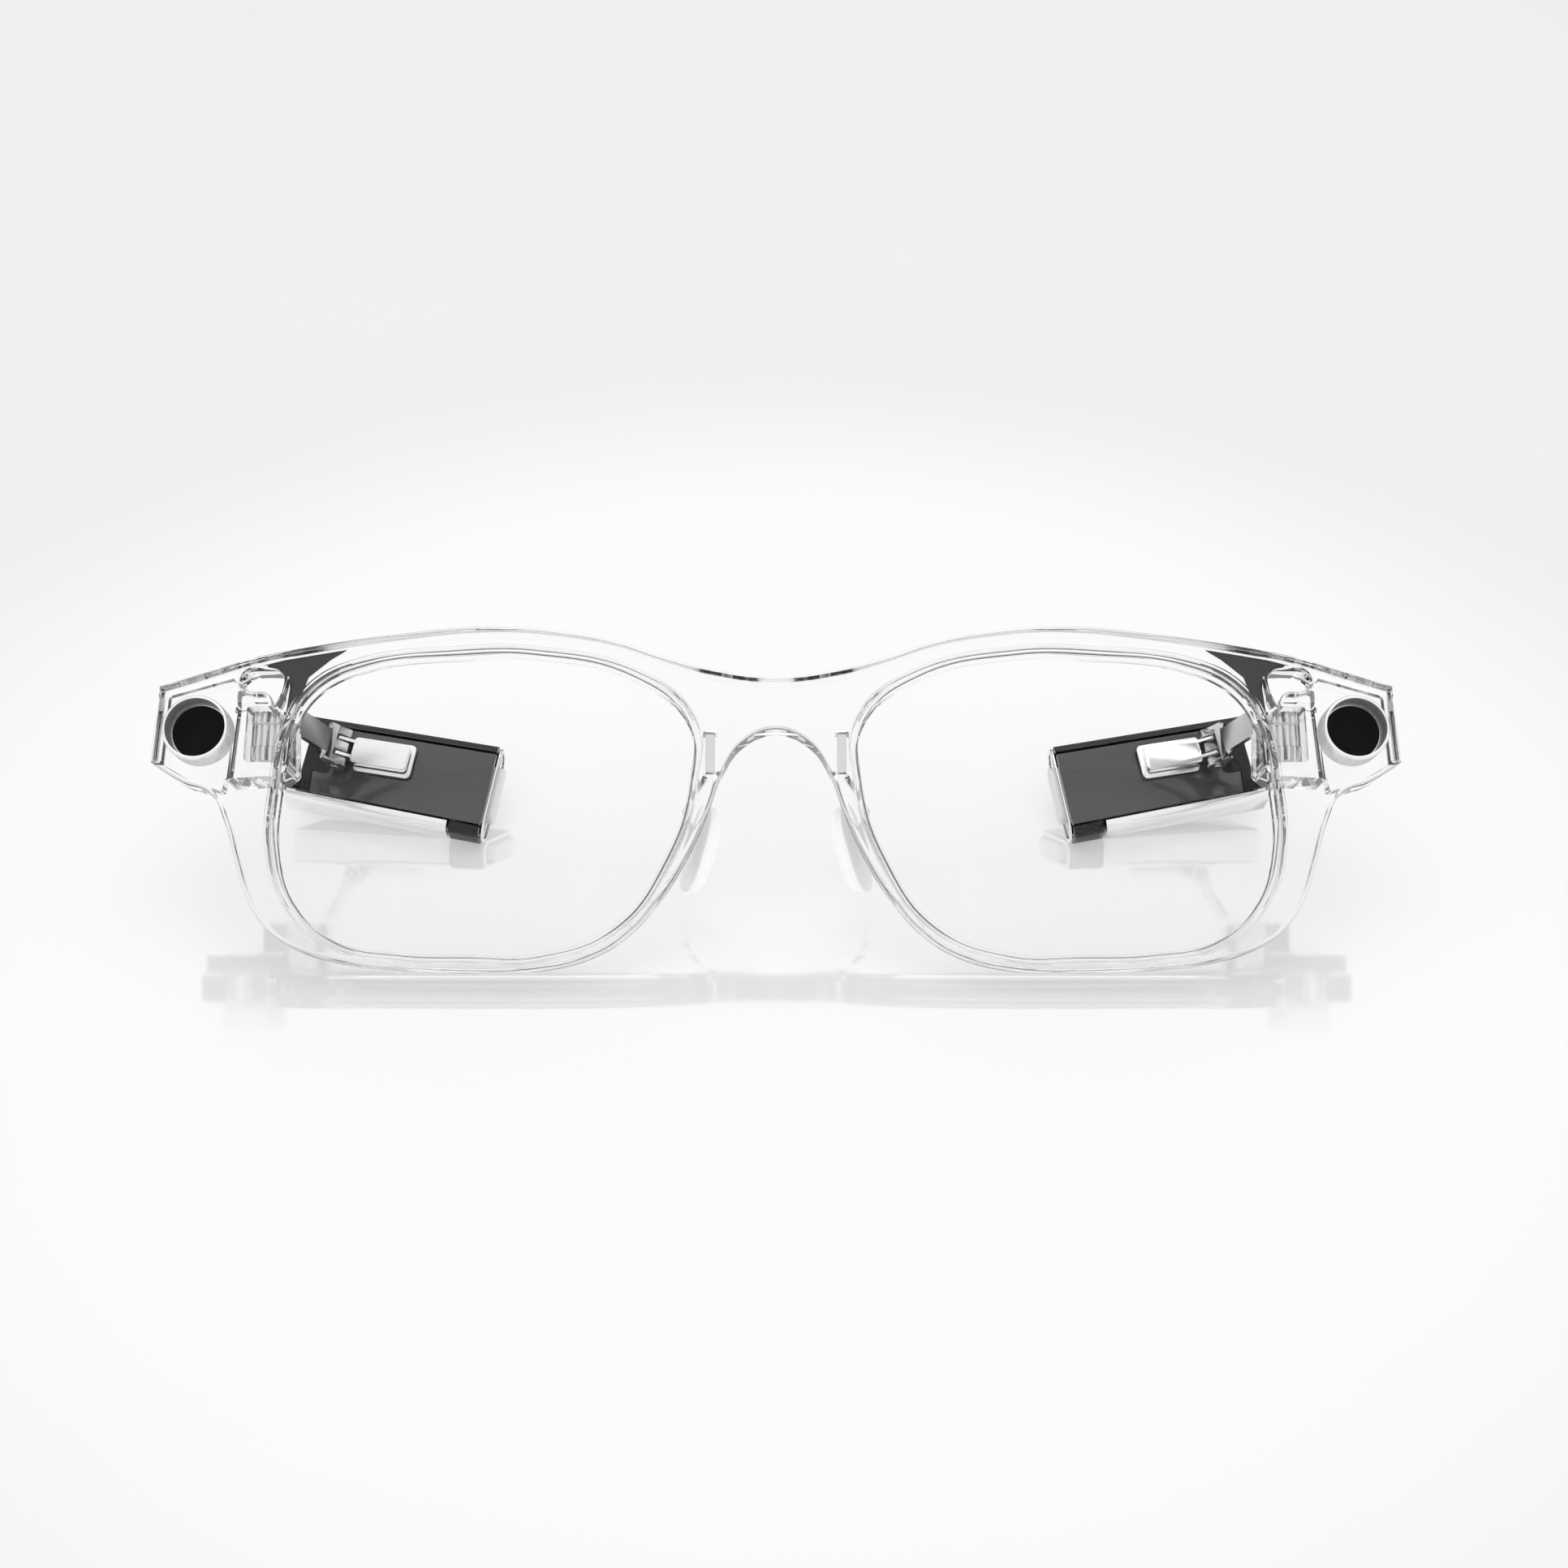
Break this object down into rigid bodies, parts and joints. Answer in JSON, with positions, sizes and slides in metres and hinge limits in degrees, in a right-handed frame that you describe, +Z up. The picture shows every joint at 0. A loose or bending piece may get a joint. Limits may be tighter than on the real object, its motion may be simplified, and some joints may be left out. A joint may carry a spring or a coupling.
{
  "type": "smart glasses",
  "caption": "Clear-framed smart glasses with short folding arms, knurled end-block dials and silicone nose pads.",
  "frame": {"origin": "middle of the base of the bounding box, on the table the folded glasses rest on", "axes": "+X across the front to the wearer's left, +Y away from the viewer behind the front, +Z up"},
  "size_m": [0.15, 0.043, 0.0301],
  "materials": {
    "clear_plastic": "polished crystal-clear",
    "lens_clear": "polished clear",
    "satin_aluminium": "satin, knurled",
    "black_spun_metal": "spun, black anodised",
    "polished_steel": "polished",
    "silver_plating": "bright satin",
    "dark_gloss": "dark metallic gloss",
    "grey_panel": "dark grey gloss",
    "white_plastic": "satin white",
    "milky_silicone": "translucent, satin",
    "battery_wrap": "matte wrap",
    "circuit_green": "solder mask"
  },
  "bodies": {
    "front": {"front_frame": "clear_plastic", "lens_left": "lens_clear", "hinge_bracket_left": "polished_steel", "dial_hub_left": "polished_steel", "dial_window_left": "black_spun_metal", "hinge_strap_left": "polished_steel", "hinge_pin_left": "polished_steel", "nose_pad_arm_left": "polished_steel", "lens_right": "lens_clear", "hinge_bracket_right": "polished_steel", "dial_hub_right": "polished_steel", "dial_window_right": "black_spun_metal", "hinge_strap_right": "polished_steel", "hinge_pin_right": "polished_steel", "nose_pad_arm_right": "polished_steel"},
    "arm_left": {"arm_shell_left": "dark_gloss", "arm_strip_left": "silver_plating", "arm_tip_left": "dark_gloss", "arm_panel_left": "grey_panel", "arm_end_ring_left": "silver_plating", "arm_insert_left": "white_plastic", "battery_left": "battery_wrap", "circuit_board_left": "circuit_green", "speaker_left": "polished_steel", "hinge_plate_left": "silver_plating", "hinge_base_left": "silver_plating"},
    "arm_right": {"arm_shell_right": "dark_gloss", "arm_strip_right": "silver_plating", "arm_tip_right": "dark_gloss", "arm_panel_right": "grey_panel", "arm_end_ring_right": "silver_plating", "arm_insert_right": "white_plastic", "battery_right": "battery_wrap", "circuit_board_right": "circuit_green", "speaker_right": "polished_steel", "hinge_plate_right": "silver_plating", "hinge_base_right": "silver_plating"},
    "dial_left": {"dial_ring_left": "satin_aluminium"},
    "dial_right": {"dial_ring_right": "satin_aluminium"},
    "pad_left": {"nose_pad_left": "milky_silicone"},
    "pad_right": {"nose_pad_right": "milky_silicone"}
  },
  "joints": [
    {"name": "arm_fold_left", "type": "hinge", "parent": "front", "child": "arm_left", "pos_m": [-0.056, 0.01362, 0.00995], "axis": [0.165, 0.8541, 0.4931], "range_deg": [0, 90]},
    {"name": "arm_fold_right", "type": "hinge", "parent": "front", "child": "arm_right", "pos_m": [0.056, 0.01362, 0.00995], "axis": [0.165, -0.8541, -0.4931], "range_deg": [0, 90]},
    {"name": "dial_turn_left", "type": "hinge", "parent": "front", "child": "dial_left", "pos_m": [-0.0688, 0.00014, 0.02135], "axis": [0, -0.6428, 0.766], "continuous": true},
    {"name": "dial_turn_right", "type": "hinge", "parent": "front", "child": "dial_right", "pos_m": [0.0688, 0.00014, 0.02135], "axis": [0, -0.6428, 0.766], "continuous": true},
    {"name": "pad_rock_left", "type": "hinge", "parent": "front", "child": "pad_left", "pos_m": [-0.0091, -0.00428, 0.00733], "axis": [-0.339, 0.8163, -0.4676], "range_deg": [-6, 6]},
    {"name": "pad_rock_right", "type": "hinge", "parent": "front", "child": "pad_right", "pos_m": [0.0091, -0.00428, 0.00733], "axis": [0.339, 0.8163, -0.4676], "range_deg": [-6, 6]}
  ]
}
